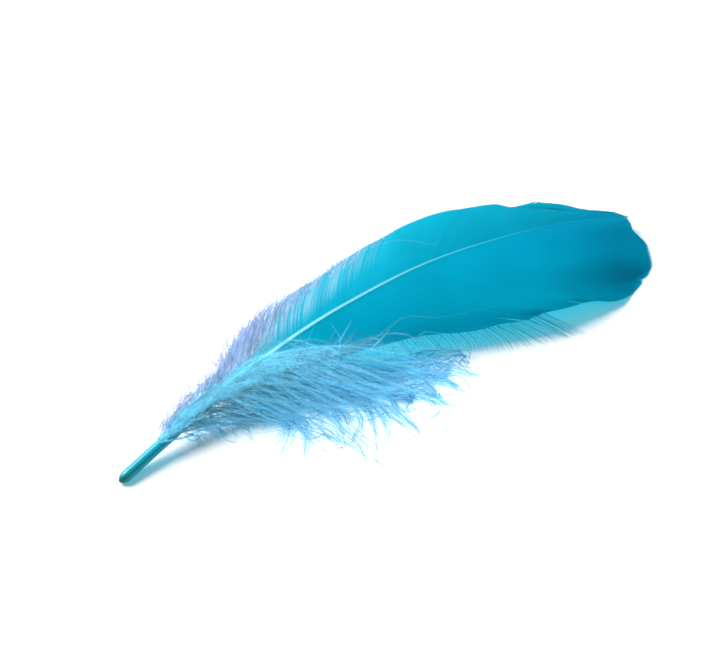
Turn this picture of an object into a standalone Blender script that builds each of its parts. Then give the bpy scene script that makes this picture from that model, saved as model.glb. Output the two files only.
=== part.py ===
"""A dyed wing feather, lying on its hollow side.

A feather grows as one piece, so it is one closed solid: the round quill, which thins into the
ridge between the two vanes, the vanes with their ribs of barbs, and the down at the base, as
tapered locks. It lies along X, quill at -X, tip at +X, and arches up from the table. The narrow
vane is on its +Y side and the broad vane on its -Y side. Metres, +Z up, with the table at z = 0
and the origin at the middle of the outline on the table.
"""

import math
import random
from bisect import bisect

import bmesh
import bpy
from mathutils import Vector

# The shaft's middle line from the quill's end to the tip, as x, y, z
SHAFT_LINE = (
    (0.002, 0.0000, 0.0011),
    (0.022, 0.0038, 0.0046),
    (0.048, 0.0074, 0.0100),
    (0.070, 0.0100, 0.0132),
    (0.092, 0.0107, 0.0155),
    (0.122, 0.0104, 0.0158),
    (0.152, 0.0075, 0.0126),
    (0.176, 0.0034, 0.0084),
    (0.194, -0.0025, 0.0046),
)

# The shaft's radius at x, from the round end of the quill to the hair at the tip
SHAFT_RADIUS = (
    (0.0020, 0.0009),
    (0.0028, 0.0015),
    (0.0045, 0.0018),
    (0.0220, 0.0018),
    (0.0450, 0.0012),
    (0.0660, 0.0008),
    (0.1310, 0.0004),
    (0.1940, 0.0002),
)
ROUND_END_ROWS = 3
SHAFT_STEPS = 30
SHAFT_SIDES_LEVEL = 2
LOCK_SIDES_LEVEL = 0
MERGE_DISTANCE = 0.000001

# Where the barb that leaves the shaft at x ends on the narrow vane's edge: x, then the end
NARROW_EDGE = (
    (0.040, 0.0460, 0.0140, 0.0085),
    (0.047, 0.0630, 0.0250, 0.0080),
    (0.074, 0.0936, 0.0294, 0.0090),
    (0.101, 0.1222, 0.0314, 0.0100),
    (0.113, 0.1361, 0.0302, 0.0105),
    (0.131, 0.1570, 0.0230, 0.0100),
    (0.140, 0.1637, 0.0186, 0.0095),
    (0.147, 0.1704, 0.0164, 0.0090),
    (0.164, 0.1823, 0.0074, 0.0070),
    (0.178, 0.1906, 0.0015, 0.0055),
    (0.194, 0.1945, -0.0028, 0.0045),
)

# The same on the broad vane's edge, whose far end lies on the table
BROAD_EDGE = (
    (0.040, 0.0420, 0.0040, 0.0080),
    (0.056, 0.0640, 0.0025, 0.0095),
    (0.070, 0.0850, -0.0030, 0.0090),
    (0.084, 0.1080, -0.0080, 0.0075),
    (0.093, 0.1250, -0.0150, 0.0060),
    (0.108, 0.1473, -0.0222, 0.0050),
    (0.121, 0.1630, -0.0250, 0.0028),
    (0.131, 0.1722, -0.0274, 0.0004),
    (0.142, 0.1810, -0.0258, -0.0001),
    (0.157, 0.1903, -0.0208, 0.0003),
    (0.170, 0.1934, -0.0132, 0.0022),
    (0.182, 0.1934, -0.0066, 0.0036),
    (0.194, 0.1948, -0.0032, 0.0044),
)
VANE_THICKNESS = 0.0006
VANE_FIRST_ROOT = 0.040
VANE_LAST_ROOT = 0.1925
VANE_STATIONS = 61
VANE_CELLS_A_SIDE = 4
BARB_DROOP = 1.6  # how late along a barb the vane bends down
BARB_BOW = 0.05  # sideways bow of a barb, as a share of its length
RIB_HEIGHT = 0.00022
RIB_REACH = 0.0005
FULL_BARB = 0.025  # shorter barbs than this make lower ribs

# Tips of the down: the lock that leaves the shaft at x ends at the point after it
BROAD_DOWN = (
    (0.018, 0.0330, -0.0120, 0.0002),
    (0.030, 0.0460, -0.0210, 0.0001),
    (0.042, 0.0590, -0.0280, 0.0001),
    (0.052, 0.0700, -0.0400, 0.0001),
    (0.062, 0.0860, -0.0350, 0.0001),
    (0.074, 0.1000, -0.0335, 0.0002),
    (0.086, 0.1130, -0.0300, 0.0006),
    (0.098, 0.1300, -0.0270, 0.0020),
)
NARROW_DOWN = (
    (0.018, 0.0280, 0.0140, 0.0002),
    (0.026, 0.0400, 0.0240, 0.0001),
    (0.036, 0.0500, 0.0310, 0.0001),
    (0.048, 0.0620, 0.0320, 0.0002),
    (0.058, 0.0760, 0.0325, 0.0030),
)
BROAD_LOCKS = 34
NARROW_LOCKS = 18
DOWN_SEED = 7
LOCK_STEPS = 8
LOCK_RADIUS = 0.0017
LOCK_TIP_RADIUS = 0.0002
LOCK_SWELL = (0.16, 1.0)  # the stretch of a sine wave that a lock's thickness follows
SWELL_LEAN = 0.8  # below 1 it puts the thickest place nearer to the root

# Past the first barb the locks start under the vane, further out the nearer they are to the tip
UNDER_VANE_RAMP = 0.03
UNDER_VANE_LIMIT = 0.8

# Ranges of the random draws for a lock
LOCK_PLACE = (0.2, 0.8)
LOCK_JITTER = 0.0035
TIP_OUTWARD = (-0.4, 1.0)  # shares of the jitter
LOCK_LIFT = (0.00105, 0.0035)
LOCK_BOW = (0.048, 0.16)
LOCK_SETTLE = (1.3, 2.4)
LOCK_FULLNESS = (0.75, 1.1)

# Room under the table plane for what is cut off flat
TABLE_MARGIN = 0.02

TURQUOISE = (0.0, 0.37, 0.58, 1.0)
FEATHER_ROUGHNESS = 0.55
SHARP_ANGLE = math.radians(35)


def clear_scene():
    for thing in list(bpy.data.objects):
        bpy.data.objects.remove(thing, do_unlink=True)


def collection(name):
    made = bpy.data.collections.new(name)
    bpy.context.scene.collection.children.link(made)
    return made


def through(rows, at):
    """Reads the smooth curve through rows of (key, value, ...) at a key, as a list of values."""
    keys = [row[0] for row in rows]
    at = min(max(at, keys[0]), keys[-1])
    low = min(max(bisect(keys, at) - 1, 0), len(rows) - 2)
    span = keys[low + 1] - keys[low]
    t = (at - keys[low]) / span

    def slope(i, column):
        before = max(i - 1, 0)
        after = min(i + 1, len(rows) - 1)
        return (rows[after][column] - rows[before][column]) / (keys[after] - keys[before])

    values = []
    for column in range(1, len(rows[0])):
        first = rows[low][column]
        last = rows[low + 1][column]
        rise = last - first
        start = slope(low, column) * span
        end = slope(low + 1, column) * span
        bend = 3 * rise - 2 * start - end
        twist = start + end - 2 * rise
        values.append(first + t * (start + t * (bend + t * twist)))
    return values


def shaft_point(x):
    y, z = through(SHAFT_LINE, x)
    return Vector((x, y, z))


def shaft_radius(x):
    """Straight between the rows, so that the round end stays round."""
    for (x0, r0), (x1, r1) in zip(SHAFT_RADIUS, SHAFT_RADIUS[1:]):
        if x <= x1:
            return r0 + (r1 - r0) * (x - x0) / (x1 - x0)
    return SHAFT_RADIUS[-1][1]


def vane_point(root, across):
    """The vane's middle surface: root is where the barb leaves the shaft, and across runs from
    -1 at the broad edge through 0 on the shaft to 1 at the narrow edge."""
    start = shaft_point(root)
    edge = Vector(through(NARROW_EDGE if across > 0 else BROAD_EDGE, root))
    reach = abs(across)
    point = start.lerp(edge, reach)
    barb = edge - start
    outward = Vector((-barb.y, barb.x, 0.0)) * math.copysign(1.0, across)
    point += outward * BARB_BOW * 4 * reach * (1 - reach)
    point.z = start.z + (edge.z - start.z) * reach**BARB_DROOP
    return point


def new_object(name, data, where):
    thing = bpy.data.objects.new(name, data)
    where.objects.link(thing)
    return thing


def helper(thing):
    """Marks an object that only shapes the feather."""
    thing.hide_render = True
    thing.display_type = "WIRE"
    return thing


def tapered_tube(name, points, radii, sides_level, where):
    """A closed round tube through the points. A bevelled curve has 4 + 2 x sides_level sides."""
    curve = bpy.data.curves.new(name, "CURVE")
    curve.dimensions = "3D"
    curve.bevel_depth = 1.0
    curve.bevel_resolution = sides_level
    curve.use_fill_caps = True
    line = curve.splines.new("POLY")
    line.points.add(len(points) - 1)
    for knot, point, radius in zip(line.points, points, radii):
        knot.co = (*point, 1.0)
        knot.radius = radius
    guide = new_object(name + "_guide", curve, where)
    graph = bpy.context.evaluated_depsgraph_get()
    mesh = bpy.data.meshes.new_from_object(guide.evaluated_get(graph))
    bpy.data.objects.remove(guide, do_unlink=True)
    closed = bmesh.new()
    closed.from_mesh(mesh)
    bmesh.ops.remove_doubles(closed, verts=closed.verts, dist=MERGE_DISTANCE)
    bmesh.ops.recalc_face_normals(closed, faces=closed.faces)
    closed.to_mesh(mesh)
    closed.free()
    return new_object(name, mesh, where)


def make_shaft(where):
    """The quill and the ridge that it thins into. Its stations crowd together at the round end."""
    length = SHAFT_LINE[-1][0]
    round_end = [x for x, _ in SHAFT_RADIUS[:ROUND_END_ROWS]]
    start = round_end[-1]
    step = (length - start) / SHAFT_STEPS
    stations = round_end + [start + step * i for i in range(1, SHAFT_STEPS + 1)]
    points = [shaft_point(x) for x in stations]
    radii = [shaft_radius(x) for x in stations]
    return tapered_tube("shaft", points, radii, SHAFT_SIDES_LEVEL, where)


def make_vanes(where):
    """Both vanes as one thin ribbed sheet. Every second barb row stands a little higher and
    reaches a little further than its neighbours."""
    cells = range(-VANE_CELLS_A_SIDE, VANE_CELLS_A_SIDE + 1)
    sheet = bmesh.new()
    rows = []
    for station in range(VANE_STATIONS):
        done = station / (VANE_STATIONS - 1)
        root = VANE_FIRST_ROOT + (VANE_LAST_ROOT - VANE_FIRST_ROOT) * done
        side = 1 if station % 2 else -1
        row = []
        for cell in cells:
            across = cell / VANE_CELLS_A_SIDE
            point = vane_point(root, across)
            barb = vane_point(root, math.copysign(1.0, across)) - shaft_point(root)
            rib = side * min(barb.length / FULL_BARB, 1.0)
            point += barb.normalized() * RIB_REACH * rib * abs(across)
            point.z += RIB_HEIGHT * rib * (cell != 0)
            row.append(sheet.verts.new(point))
        rows.append(row)
    for row, following in zip(rows, rows[1:]):
        for a, b, c, d in zip(row, row[1:], following[1:], following):
            sheet.faces.new((a, b, c, d))
    mesh = bpy.data.meshes.new("vanes")
    sheet.to_mesh(mesh)
    sheet.free()
    vanes = new_object("vanes", mesh, where)
    shell = vanes.modifiers.new("thickness", "SOLIDIFY")
    shell.thickness = VANE_THICKNESS
    shell.offset = 0.0
    shell.use_even_offset = False
    return vanes


def lock_path(start, tip, lift, bow, settle):
    """A lock leaves its start, rises a little, bows sideways and comes down to its tip, the
    sooner the larger settle is."""
    run = tip - start
    aside = Vector((-run.y, run.x, 0.0)) * bow
    points = []
    for step in range(LOCK_STEPS + 1):
        t = step / LOCK_STEPS
        point = start.lerp(tip, t)
        point += aside * 4 * t * (1 - t)
        rise = lift * math.sin(math.pi * t) * (1 - t)
        point.z = tip.z + (start.z - tip.z) * (1 - t) ** settle + rise
        points.append(point)
    return points


def lock_radii(scale):
    """Thin at the root, full in the middle and drawn out to a point."""
    radii = []
    for step in range(LOCK_STEPS + 1):
        t = step / LOCK_STEPS
        first, last = LOCK_SWELL
        full = math.sin(math.pi * (first + (last - first) * t) ** SWELL_LEAN)
        radii.append(LOCK_TIP_RADIUS + (LOCK_RADIUS - LOCK_TIP_RADIUS) * full * scale)
    return radii


def make_down(where):
    """The locks of down at the base, longer on the broad side, where they lie on the table."""
    dice = random.Random(DOWN_SEED)
    sides = (
        ("broad", BROAD_DOWN, BROAD_LOCKS, -1),
        ("narrow", NARROW_DOWN, NARROW_LOCKS, 1),
    )
    for side, tips, count, sign in sides:
        first = tips[0][0]
        last = tips[-1][0]
        for number in range(count):
            root = first + (last - first) * (number + dice.uniform(*LOCK_PLACE)) / count
            tip = Vector(through(tips, root))
            tip.x += dice.uniform(-LOCK_JITTER, LOCK_JITTER)
            tip.y += dice.uniform(*TIP_OUTWARD) * LOCK_JITTER * -sign
            out = min(max((root - VANE_FIRST_ROOT) / UNDER_VANE_RAMP, 0.0), UNDER_VANE_LIMIT)
            start = vane_point(root, sign * out) if out else shaft_point(root)
            start.z -= VANE_THICKNESS
            lift = dice.uniform(*LOCK_LIFT) * (1 - out)
            bow = dice.uniform(*LOCK_BOW) * -sign
            points = lock_path(start, tip, lift, bow, dice.uniform(*LOCK_SETTLE))
            radii = lock_radii(dice.uniform(*LOCK_FULLNESS))
            name = f"{side}_lock_{number + 1:02d}"
            helper(tapered_tube(name, points, radii, LOCK_SIDES_LEVEL, where))


def make_table(where):
    """A block under z = 0, which cuts flat what lies on the table."""
    block = bmesh.new()
    bmesh.ops.create_cube(block, size=1.0)
    length = SHAFT_LINE[-1][0]
    bmesh.ops.scale(block, vec=(2 * length, length, TABLE_MARGIN), verts=block.verts)
    bmesh.ops.translate(block, vec=(length / 2, 0.0, -TABLE_MARGIN / 2), verts=block.verts)
    mesh = bpy.data.meshes.new("table")
    block.to_mesh(mesh)
    block.free()
    return helper(new_object("table", mesh, where))


def feather_material():
    made = bpy.data.materials.new("turquoise_feather")
    made.use_nodes = True
    shader = made.node_tree.nodes["Principled BSDF"]
    shader.inputs["Base Color"].default_value = TURQUOISE
    shader.inputs["Roughness"].default_value = FEATHER_ROUGHNESS
    shader.inputs["Metallic"].default_value = 0.0
    made.diffuse_color = TURQUOISE
    return made


def fuse(shaft, grown, table, where):
    """Joins the vanes and the locks to the shaft, cuts them level with the table, and returns
    the one mesh that comes of it."""
    join = shaft.modifiers.new("grown together", "BOOLEAN")
    join.operation = "UNION"
    join.solver = "EXACT"
    join.operand_type = "COLLECTION"
    join.collection = grown
    cut = shaft.modifiers.new("level with the table", "BOOLEAN")
    cut.operation = "DIFFERENCE"
    cut.solver = "EXACT"
    cut.object = table
    graph = bpy.context.evaluated_depsgraph_get()
    mesh = bpy.data.meshes.new_from_object(shaft.evaluated_get(graph))
    mesh.name = "feather"
    bpy.data.objects.remove(shaft, do_unlink=True)
    return new_object("feather", mesh, where)


def centre_on_origin(feather):
    """Puts the origin at the middle of the feather's outline on the table."""
    corners = [vertex.co for vertex in feather.data.vertices]
    middle = [(min(c[axis] for c in corners) + max(c[axis] for c in corners)) / 2 for axis in (0, 1)]
    shift = Vector((-middle[0], -middle[1], 0.0))
    for vertex in feather.data.vertices:
        vertex.co += shift
    return shift


def main():
    clear_scene()
    parts = collection("wing_feather")
    shapers = collection("shapers")
    grown = bpy.data.collections.new("grown_together")
    shapers.children.link(grown)
    shaft = make_shaft(parts)
    helper(make_vanes(grown))
    make_down(grown)
    table = make_table(shapers)
    feather = fuse(shaft, grown, table, parts)
    shift = centre_on_origin(feather)
    for thing in [*grown.objects, table]:
        thing.location += shift
    feather.data.materials.clear()
    feather.data.materials.append(feather_material())
    feather.data.shade_smooth()
    feather.data.set_sharp_from_angle(angle=SHARP_ANGLE)


main()
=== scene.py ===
"""The looks of a dyed wing feather: every barb of its vanes, its horn shaft and its loose down.

The curves and sizes are those of the solid feather, in metres, with the quill's end near x = 0.
ORIGIN is the point of that drawing which the frame has at its origin.
"""

import math

import bpy
import numpy as np
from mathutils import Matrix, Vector
from mathutils.bvhtree import BVHTree


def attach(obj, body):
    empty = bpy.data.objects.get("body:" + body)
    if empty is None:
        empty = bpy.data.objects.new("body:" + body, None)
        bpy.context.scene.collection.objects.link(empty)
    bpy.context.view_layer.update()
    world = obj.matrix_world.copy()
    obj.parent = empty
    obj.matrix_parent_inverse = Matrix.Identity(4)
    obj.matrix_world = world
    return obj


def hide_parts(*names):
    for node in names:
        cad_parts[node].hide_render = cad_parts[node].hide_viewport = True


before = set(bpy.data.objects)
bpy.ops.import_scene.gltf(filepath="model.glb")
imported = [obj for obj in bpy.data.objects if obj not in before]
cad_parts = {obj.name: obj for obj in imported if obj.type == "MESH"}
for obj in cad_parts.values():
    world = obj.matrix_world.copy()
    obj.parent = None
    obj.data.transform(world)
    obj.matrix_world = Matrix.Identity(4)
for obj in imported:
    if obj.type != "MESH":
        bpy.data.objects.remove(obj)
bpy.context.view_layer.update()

ORIGIN = np.array((0.098213, -0.003638, 0.0))
FLOOR_GAP = 0.00005

# The shaft's middle line from the quill's end to the tip, as x, y, z
SHAFT_LINE = (
    (0.002, 0.0000, 0.0011),
    (0.022, 0.0038, 0.0046),
    (0.048, 0.0074, 0.0100),
    (0.070, 0.0100, 0.0132),
    (0.092, 0.0107, 0.0155),
    (0.122, 0.0104, 0.0158),
    (0.152, 0.0075, 0.0126),
    (0.176, 0.0034, 0.0084),
    (0.194, -0.0025, 0.0046),
)

# The shaft's radius at x, from the round end of the quill to the hair at the tip
SHAFT_RADIUS = (
    (0.0020, 0.0009),
    (0.0028, 0.0015),
    (0.0045, 0.0018),
    (0.0220, 0.0018),
    (0.0450, 0.0012),
    (0.0660, 0.0008),
    (0.1310, 0.0004),
    (0.1940, 0.0002),
)

# Where the barb that leaves the shaft at x ends on the narrow vane's edge: x, then the end
NARROW_EDGE = (
    (0.040, 0.0460, 0.0140, 0.0085),
    (0.050, 0.0630, 0.0250, 0.0080),
    (0.078, 0.0936, 0.0294, 0.0090),
    (0.105, 0.1222, 0.0314, 0.0100),
    (0.116, 0.1361, 0.0302, 0.0105),
    (0.132, 0.1570, 0.0230, 0.0100),
    (0.140, 0.1637, 0.0186, 0.0095),
    (0.147, 0.1704, 0.0164, 0.0090),
    (0.164, 0.1823, 0.0074, 0.0070),
    (0.178, 0.1906, 0.0015, 0.0055),
    (0.194, 0.1945, -0.0028, 0.0045),
)

# The same on the broad vane's edge, whose far end lies on the table
BROAD_EDGE = (
    (0.040, 0.0420, 0.0040, 0.0080),
    (0.056, 0.0640, 0.0025, 0.0095),
    (0.070, 0.0850, -0.0030, 0.0090),
    (0.084, 0.1080, -0.0080, 0.0075),
    (0.093, 0.1250, -0.0150, 0.0060),
    (0.108, 0.1473, -0.0222, 0.0050),
    (0.121, 0.1630, -0.0250, 0.0028),
    (0.131, 0.1722, -0.0274, 0.0004),
    (0.142, 0.1810, -0.0258, -0.0001),
    (0.157, 0.1903, -0.0208, 0.0003),
    (0.170, 0.1934, -0.0132, 0.0022),
    (0.182, 0.1934, -0.0066, 0.0036),
    (0.194, 0.1948, -0.0032, 0.0044),
)
EDGES = {1: NARROW_EDGE, -1: BROAD_EDGE}
VANE_FIRST_ROOT = 0.040
VANE_LAST_ROOT = 0.1925
BARB_BOW = 0.05  # how far a barb bows sideways, as a share of its length

# Where barbs stand on the shaft, to its side and up, as shares of its radius
BARB_FOOT_OUT = 0.75
BARB_FOOT_UP = 0.16

# How steeply barbs set off downward, as a share of their mean slope: at the vane's base, at its
# tip, and where on the shaft the change starts and how long it is
DROOP_AT_BASE = 0.85
DROOP_AT_TIP = 0.35
DROOP_CHANGE_START = 0.085
DROOP_CHANGE_LENGTH = 0.045

# Locks of down on the broad side. Their barbs run along the vane's lower edge, turn down at the
# first point x, y and end at the second. Last is how many barbs each has.
LOCKS = (
    ((0.0299, 0.0044), (0.0321, -0.0021), 9),
    ((0.0370, 0.0011), (0.0408, -0.0051), 12),
    ((0.0450, 0.0000), (0.0450, -0.0100), 12),
    ((0.0594, -0.0081), (0.0445, -0.0166), 16),
    ((0.0571, -0.0107), (0.0454, -0.0204), 12),
    ((0.0609, -0.0123), (0.0533, -0.0247), 18),
    ((0.0645, -0.0177), (0.0655, -0.0296), 18),
    ((0.0707, -0.0165), (0.0667, -0.0272), 14),
    ((0.0723, -0.0129), (0.0709, -0.0235), 16),
    ((0.0767, -0.0204), (0.0686, -0.0271), 12),
    ((0.0690, -0.0265), (0.0692, -0.0403), 7),
    ((0.0730, -0.0275), (0.0707, -0.0399), 5),
    ((0.0812, -0.0164), (0.0763, -0.0339), 20),
    ((0.0828, -0.0197), (0.0800, -0.0323), 16),
    ((0.0892, -0.0174), (0.0886, -0.0245), 16),
    ((0.0865, -0.0239), (0.0893, -0.0352), 18),
    ((0.0923, -0.0195), (0.0954, -0.0244), 16),
    ((0.0957, -0.0202), (0.0903, -0.0252), 10),
    ((0.1009, -0.0209), (0.1019, -0.0272), 16),
    ((0.0996, -0.0246), (0.1035, -0.0320), 16),
    ((0.1076, -0.0224), (0.1102, -0.0290), 14),
    ((0.1064, -0.0184), (0.1118, -0.0211), 14),
    ((0.1114, -0.0183), (0.1177, -0.0264), 14),
    ((0.1168, -0.0158), (0.1178, -0.0212), 10),
)

# The stretch of the shaft that carries the barbs of those locks
SHAFT_BARBS = (0.0175, 0.0600)

# The flow of the down on the narrow side: guides, each through five points x, y, from where its
# barbs leave the shaft to their tips
NARROW_FLOW = (
    ((0.0185, 0.0045), (0.0210, 0.0058), (0.0235, 0.0071), (0.0255, 0.0082), (0.0275, 0.0092)),
    ((0.0230, 0.0058), (0.0265, 0.0078), (0.0295, 0.0098), (0.0320, 0.0112), (0.0340, 0.0122)),
    ((0.0290, 0.0068), (0.0330, 0.0094), (0.0362, 0.0118), (0.0385, 0.0136), (0.0402, 0.0150)),
    ((0.0350, 0.0078), (0.0400, 0.0112), (0.0435, 0.0142), (0.0462, 0.0164), (0.0482, 0.0184)),
    ((0.0410, 0.0085), (0.0470, 0.0128), (0.0512, 0.0164), (0.0545, 0.0194), (0.0568, 0.0216)),
    ((0.0470, 0.0090), (0.0540, 0.0142), (0.0595, 0.0192), (0.0635, 0.0228), (0.0660, 0.0262)),
    ((0.0560, 0.0096), (0.0640, 0.0160), (0.0700, 0.0216), (0.0740, 0.0254), (0.0768, 0.0294)),
)

# Where the loose fluff lies thickest, over the shaft's foot and the broad vane's lower edge: the
# share of the way, x, y, and how far it spreads to each side
FLUFF = (
    (0.0, 0.0260, 0.0048, 0.0016),
    (0.2, 0.0400, 0.0045, 0.0034),
    (0.4, 0.0540, 0.0038, 0.0045),
    (0.6, 0.0700, 0.0003, 0.0045),
    (0.8, 0.0860, -0.0052, 0.0045),
    (1.0, 0.1090, -0.0120, 0.0034),
)

# Single hairs of down that the eye picks out, each through a few points x, y, z. Where a vane or
# the shaft is higher than that, they lie on it.
HAIRS = (
    ((0.0458, 0.0164, 0.0070), (0.0441, 0.0213, 0.0085), (0.0388, 0.0186, 0.0082),
     (0.0369, 0.0161, 0.0070), (0.0382, 0.0129, 0.0060)),
    ((0.0479, 0.0180, 0.0070), (0.0479, 0.0214, 0.0075), (0.0485, 0.0245, 0.0082),
     (0.0503, 0.0287, 0.0090)),
    ((0.0521, 0.0170, 0.0070), (0.0521, 0.0194, 0.0080), (0.0545, 0.0250, 0.0090),
     (0.0566, 0.0296, 0.0100)),
    ((0.0525, 0.0150, 0.0070), (0.0528, 0.0175, 0.0080), (0.0535, 0.0205, 0.0085),
     (0.0558, 0.0241, 0.0090)),
    ((0.0380, 0.0130, 0.0070), (0.0361, 0.0167, 0.0072), (0.0385, 0.0200, 0.0078),
     (0.0413, 0.0240, 0.0080)),
    ((0.0277, 0.0075, 0.0080), (0.0290, 0.0045, 0.0088), (0.0311, 0.0022, 0.0090),
     (0.0340, 0.0002, 0.0080)),
    ((0.0752, 0.0249, 0.0095), (0.0735, 0.0258, 0.0097), (0.0716, 0.0262, 0.0095),
     (0.0720, 0.0284, 0.0100)),
    ((0.0859, 0.0208, 0.0112), (0.0880, 0.0232, 0.0111), (0.0910, 0.0258, 0.0106),
     (0.0944, 0.0285, 0.0102)),
    ((0.0750, 0.0196, 0.0112), (0.0765, 0.0202, 0.0118), (0.0785, 0.0188, 0.0122),
     (0.0805, 0.0146, 0.0126)),
    ((0.0761, 0.0184, 0.0112), (0.0768, 0.0172, 0.0118), (0.0774, 0.0160, 0.0122),
     (0.0782, 0.0147, 0.0124)),
    ((0.0722, 0.0040, 0.0120), (0.0732, 0.0051, 0.0124), (0.0755, 0.0070, 0.0134),
     (0.0790, 0.0094, 0.0142)),
    ((0.0983, -0.0024, 0.0095), (0.1010, -0.0022, 0.0106), (0.1043, -0.0015, 0.0112),
     (0.1075, -0.0012, 0.0116)),
    ((0.1147, 0.0286, 0.0), (0.1216, 0.0245, 0.0), (0.1283, 0.0161, 0.0), (0.1319, 0.0167, 0.0)),
    ((0.0921, -0.0026, 0.0), (0.1058, -0.0020, 0.0), (0.1155, -0.0075, 0.0),
     (0.1329, -0.0131, 0.0)),
)

VANE_SEED = 11
FREE_END_SEED = 23
DOWN_SEED = 5

# The barbs of the vanes
BARB_PITCH = 0.00045
BARB_STEPS = 22
BARB_RIDGE = 0.00004
BARB_POINT = 0.0005  # the stretch in which a barb comes to a point
BARB_UNEVEN = 0.00012  # how unevenly the barbs end
OUTER_CROWDING = 1.6  # above 1 it sets the rings of a barb closer towards its tip

# Splits in the vanes: the shaft's x of the parting, its width at the edge and where on the barb
# it starts, as a share of the barb
SPLITS = {
    1: (
        (0.0500, 0.0004, 0.55), (0.0610, 0.0003, 0.60), (0.0700, 0.0003, 0.60),
        (0.0790, 0.0003, 0.65), (0.0850, 0.0002, 0.50), (0.0895, 0.0003, 0.60),
        (0.0945, 0.0002, 0.55), (0.1470, 0.0008, 0.92),
    ),
    -1: (
        (0.0880, 0.0005, 0.70), (0.1020, 0.0005, 0.80), (0.1180, 0.0004, 0.85),
        (0.1485, 0.0008, 0.95),
    ),
}
SPLIT_REACH = 0.0030

# Up to these places on the shaft the barbs are loose, by this much in length and in place
LOOSE_BELOW = {1: 0.070, -1: 0.052}
LOOSE_FADE = 0.016
LOOSE_END = 0.0022
LOOSE_STRAY = 0.0005

# Where an edge stands out or in: the shaft's x of the barbs, how far and over what width
EDGE_WAVES = {
    1: (
        (0.1465, 0.0009, 0.0007), (0.1440, -0.0010, 0.0022), (0.1380, -0.0006, 0.0030),
        (0.1300, 0.0006, 0.0040), (0.1600, 0.0006, 0.0050), (0.1680, -0.0009, 0.0020),
        (0.1775, 0.0009, 0.0012), (0.1900, 0.0008, 0.0008),
    ),
    -1: (
        (0.0980, -0.0011, 0.0024), (0.1022, 0.0008, 0.0018), (0.1080, -0.0007, 0.0022),
        (0.1480, -0.0008, 0.0016), (0.1740, 0.0015, 0.0060), (0.1920, -0.0012, 0.0030),
    ),
}

# Where the vanes stand off their smooth form, and where painted shade darkens them in the crease,
# hollows and dents: how much, where on the shaft and how wide, and where on the barb and how wide
SWELLS = {
    1: ((-0.0004, 0.157, 0.011, 0.82, 0.10),),
    -1: ((0.0013, 0.146, 0.011, 0.58, 0.22), (-0.0012, 0.147, 0.006, 0.90, 0.12)),
}
PAINTED_SHADE_SPOTS = {
    1: ((0.48, 0.157, 0.009, 0.80, 0.035), (0.40, 0.178, 0.004, 0.78, 0.06)),
    -1: (
        (0.26, 0.1065, 0.0022, 0.93, 0.05),
        (0.26, 0.1210, 0.0020, 0.93, 0.05),
        (0.10, 0.172, 0.012, 0.45, 0.35),
    ),
}

# The same where it grows along the broad vane's barbs, from a place on them over a length: the
# stand-off, then the painted shade
MARGIN_LIFTS = ((-0.0018, 0.175, 0.013, 0.3, 0.7), (0.0026, 0.117, 0.014, 0.4, 0.6))
MARGIN_PAINTED_SHADE_SPOTS = ((0.26, 0.147, 0.012, 0.45, 0.45),)

# Two slow waves of the vanes: their height, and radians a metre along the shaft
WAVES = ((0.00030, 210), (0.00015, 520))

# The loose ends of barbs that hang from the broad edge, and where on the shaft their barbs start
FREE_ENDS = 74
FREE_END_ROOTS = (0.0800, 0.1085)
FREE_END_STEPS = 16
FREE_END_SIDES = 4
FREE_END_RADIUS = 0.00011
FREE_END_LENGTHS = (0.0045, 0.0065)
FREE_END_LONGER = 0.0030  # how much longer they are towards the tip
FREE_END_PALE = 0.4  # the share of them that is pale

# The shaft's surface
SHAFT_SIDES = 24
QUILL_END_RINGS = 8
SHAFT_RINGS = 150
QUILL_FULL_AT = 0.0045  # the x where the quill's rounded end has its full width
RIDGE_FLATTENED = 0.76  # how much of its height the ridge's round top loses
GROOVE_DEPTH = 0.45  # of the groove beneath, as a share of the radius

# The down: how many barbs of each kind, how fine they are and how far apart their barbules stand
DOWN_STEPS = 20
DOWN_RADIUS = 0.00005
DOWN_SIDES = 3
LOCK_PIECES = 3  # the locks are dealt out to this many pieces
LOCK_LOOSE = 0.33  # the share of a lock's barbs that stay loose
LOCK_FREEDOM = 2.6  # how much wider they stray
LOCK_BEND_AT = 0.78  # where on a barb the bend of its lock lies

# The course of a lock's barb before that bend: where on the barb, at which share of the way in x,
# and how far it has drawn to the bend in y
LOCK_COURSE = ((0.28, 0.42, 0.0), (0.55, 0.80, 0.45))
NARROW_BARBS = 230
NARROW_TUFTS = 13
NARROW_HEIGHT = 0.006
NARROW_LOOSE = 0.35
SPIKES = 38
SPIKE_HEIGHT = 0.004
FLUFF_BARBS = 340
BASE_BARBS = 200
BASE_FIRST_ROOT = 0.0375
BASE_STRETCH = 0.056
WISPS = 260
WISP_FIRST_ROOT = 0.0405
WISP_STRETCH = 0.066
CURLED_WISP = 9  # one wisp in so many curls right round
BARBULE_PITCH = 0.00010
BARBULE_WIDTH = 0.00007
BARBULE_GROUPS = 6  # barbs are sorted by length into so many groups
BARBULE_LEAST = 6  # on the shortest barb
BARBULE_LEAN = (0.45, 1.25)  # radians between a barbule and its barb
BARBULE_SHARE = (0.35, 1.25)  # the shortest and the longest, as shares of their full length

# How long the barbules are at the root and at the tip of a barb
LOCK_BARBULES = (0.0016, 0.0006)
NARROW_BARBULES = (0.0012, 0.0003)
FLUFF_BARBULES = (0.0013, 0.0003)
BASE_BARBULES = (0.0009, 0.0005)
WISP_BARBULES = (0.0004, 0.0002)
HAIR_BARBULES = (0.00014, 0.00005)

# How loose barbs lie on the vanes: how far above, how often their course is evened out, and how
# fine the surface is that carries them
LOCK_CLEARANCE = 0.0004
FLUFF_CLEARANCE = 0.0005
CLEARANCE = 0.0003
EVENING_ROUNDS = 70
REST_ROWS = 140
REST_COLUMNS = 16
REST_RINGS = 80
REST_SIDES = 8
LEAST_HEIGHT = 0.0003  # above the table; vanes and barbules may come three times as near
SKY = 0.1  # a height above everything, to look down from
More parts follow.
